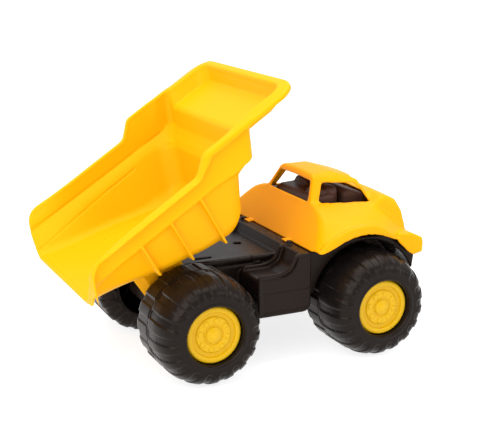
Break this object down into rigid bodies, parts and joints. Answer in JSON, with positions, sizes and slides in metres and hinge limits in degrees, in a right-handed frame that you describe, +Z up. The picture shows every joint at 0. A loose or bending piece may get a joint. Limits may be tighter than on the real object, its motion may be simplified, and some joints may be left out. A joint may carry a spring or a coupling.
{
  "type": "toy dump truck",
  "caption": "Toy dump truck with a tilting open load bed over the cab, a windowed cab on a step-sided chassis, and four wide wheels that roll on steel axles.",
  "frame": {"origin": "on the ground, on the centreline, midway between the tail lip of the raised bed and the bumper", "axes": "+X forward to the bumper, +Y to the truck's left, +Z up; the rest pose has the bed raised 33.6 degrees"},
  "size_m": [0.3382, 0.238, 0.2648],
  "materials": {
    "bed_yellow": "semi-gloss moulded plastic",
    "cab_yellow": "semi-gloss moulded plastic",
    "hub_yellow": "semi-gloss moulded plastic",
    "chassis_black": "satin moulded plastic",
    "interior_black": "satin moulded plastic",
    "tyre_black": "semi-gloss blow-moulded plastic",
    "steel": "bright zinc-plated steel"
  },
  "bodies": {
    "chassis": {"chassis": "chassis_black", "cab": "cab_yellow", "cab_interior": "interior_black", "cab_screws": "steel", "bed_hinge_pin": "steel", "hinge_left_washer": "steel", "hinge_right_washer": "steel"},
    "dump_bed": {"dump_bed": "bed_yellow"},
    "front_axle": {"front_axle": "steel", "front_left_push_nut": "steel", "front_right_push_nut": "steel"},
    "rear_axle": {"rear_axle": "steel", "rear_left_push_nut": "steel", "rear_right_push_nut": "steel"},
    "front_left_wheel": {"front_left_tyre": "tyre_black", "front_left_hub": "hub_yellow"},
    "front_right_wheel": {"front_right_tyre": "tyre_black", "front_right_hub": "hub_yellow"},
    "rear_left_wheel": {"rear_left_tyre": "tyre_black", "rear_left_hub": "hub_yellow"},
    "rear_right_wheel": {"rear_right_tyre": "tyre_black", "rear_right_hub": "hub_yellow"}
  },
  "joints": [
    {"name": "bed_tilt", "type": "hinge", "parent": "chassis", "child": "dump_bed", "pos_m": [-0.0627, 0, 0.08], "axis": [0, -1, 0], "range_deg": [-33.6, 0]},
    {"name": "front_axle_spin", "type": "hinge", "parent": "chassis", "child": "front_axle", "pos_m": [0.1087, 0, 0.05], "axis": [0, 1, 0], "continuous": true},
    {"name": "rear_axle_spin", "type": "hinge", "parent": "chassis", "child": "rear_axle", "pos_m": [-0.0627, 0, 0.05], "axis": [0, 1, 0], "continuous": true},
    {"name": "front_left_wheel_spin", "type": "hinge", "parent": "front_axle", "child": "front_left_wheel", "pos_m": [0.1087, 0.085, 0.05], "axis": [0, 1, 0], "continuous": true},
    {"name": "front_right_wheel_spin", "type": "hinge", "parent": "front_axle", "child": "front_right_wheel", "pos_m": [0.1087, -0.085, 0.05], "axis": [0, 1, 0], "continuous": true},
    {"name": "rear_left_wheel_spin", "type": "hinge", "parent": "rear_axle", "child": "rear_left_wheel", "pos_m": [-0.0627, 0.085, 0.05], "axis": [0, 1, 0], "continuous": true},
    {"name": "rear_right_wheel_spin", "type": "hinge", "parent": "rear_axle", "child": "rear_right_wheel", "pos_m": [-0.0627, -0.085, 0.05], "axis": [0, 1, 0], "continuous": true}
  ]
}
